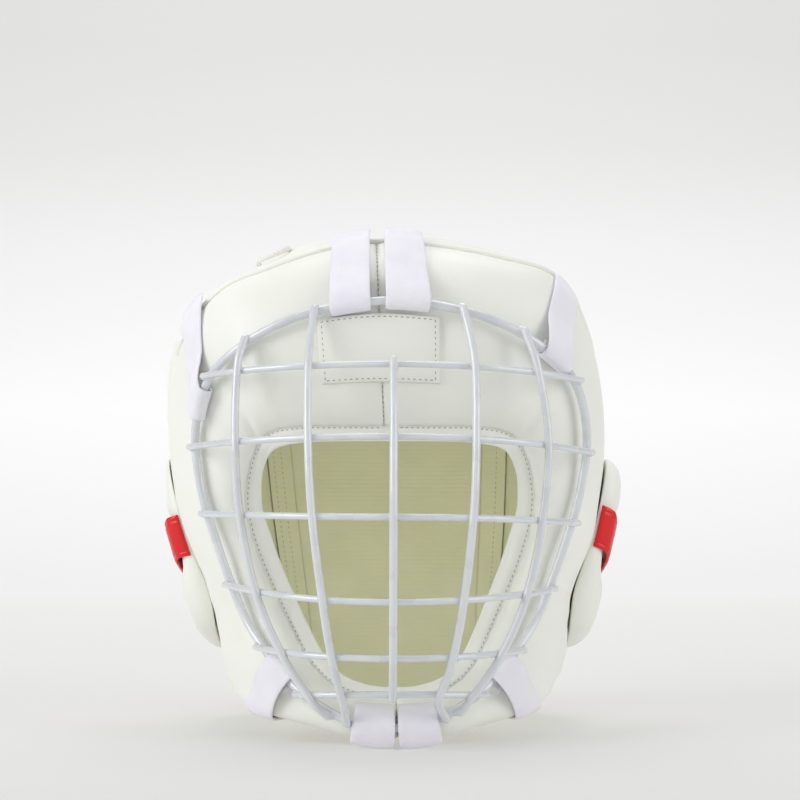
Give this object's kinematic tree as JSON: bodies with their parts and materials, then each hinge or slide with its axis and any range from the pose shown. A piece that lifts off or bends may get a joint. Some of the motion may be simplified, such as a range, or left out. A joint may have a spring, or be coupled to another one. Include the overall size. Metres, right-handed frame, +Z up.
{
  "type": "martial arts head guard",
  "caption": "Padded head guard for martial arts: white leather pads open at the face and neck, with a bulging wire cage held on by hook-and-loop tapes.",
  "frame": {"origin": "on the surface that the guard stands on, under the middle of its overall box", "axes": "+X to the wearer's left, -Y the way the face looks, +Z up"},
  "size_m": [0.2368, 0.2656, 0.2488],
  "materials": {
    "pad_leather": "soft white coated leather",
    "coated_wire": "smooth white dipped coating",
    "white_tape": "hook-and-loop tape",
    "red_leather": "glossy red coated leather",
    "white_cord": "braided cord"
  },
  "bodies": {
    "root": {"front_pad_left": "pad_leather", "front_pad_right": "pad_leather", "crown_pad_left": "pad_leather", "crown_pad_right": "pad_leather", "side_pad_left": "pad_leather", "side_pad_right": "pad_leather", "back_pad": "pad_leather", "ear_pad_left": "pad_leather", "ear_pad_right": "pad_leather", "brow_patch": "pad_leather", "face_cage": "coated_wire", "top_strap_left": "white_tape", "top_strap_right": "white_tape", "temple_strap_left": "white_tape", "temple_strap_right": "white_tape", "jaw_strap_left": "white_tape", "jaw_strap_right": "white_tape", "chin_strap_left": "white_tape", "chin_strap_right": "white_tape", "rear_strap": "red_leather", "crown_cord": "white_cord"}
  },
  "joints": []
}
